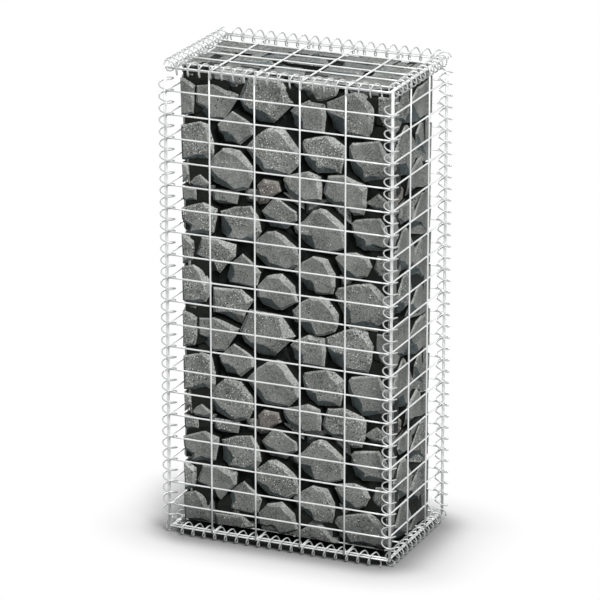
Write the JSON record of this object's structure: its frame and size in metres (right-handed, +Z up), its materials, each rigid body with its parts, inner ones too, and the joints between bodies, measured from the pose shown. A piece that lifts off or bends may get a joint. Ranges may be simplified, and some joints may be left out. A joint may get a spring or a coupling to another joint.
{
  "type": "gabion wall",
  "caption": "Free-standing gabion wall: a tall welded-wire basket laced along its edges with wire coils and packed with dark broken stone.",
  "frame": {"origin": "middle of the footprint, on the floor that the lowest turns of the bottom lacing coils touch", "axes": "+X along the width to the pictured right, +Y from the front to the back, +Z up"},
  "size_m": [0.5261, 0.3248, 1.0316],
  "materials": {
    "mesh_wire": "bright galvanised drawn wire, welded where it crosses",
    "coil_wire": "bright galvanised spring wire",
    "stone": "rough broken faces of dark grey basalt with pale flecks"
  },
  "bodies": {
    "root": {"mesh_front": "mesh_wire", "mesh_back": "mesh_wire", "mesh_left": "mesh_wire", "mesh_right": "mesh_wire", "mesh_lid": "mesh_wire", "mesh_bottom": "mesh_wire", "coil_front_left": "coil_wire", "coil_front_right": "coil_wire", "coil_back_left": "coil_wire", "coil_back_right": "coil_wire", "coil_front_top": "coil_wire", "coil_back_top": "coil_wire", "coil_left_top": "coil_wire", "coil_right_top": "coil_wire", "coil_front_bottom": "coil_wire", "coil_back_bottom": "coil_wire", "coil_left_bottom": "coil_wire", "coil_right_bottom": "coil_wire", "stone_lift_1": "stone", "stone_lift_2": "stone", "stone_lift_3": "stone", "stone_lift_4": "stone"}
  },
  "joints": []
}
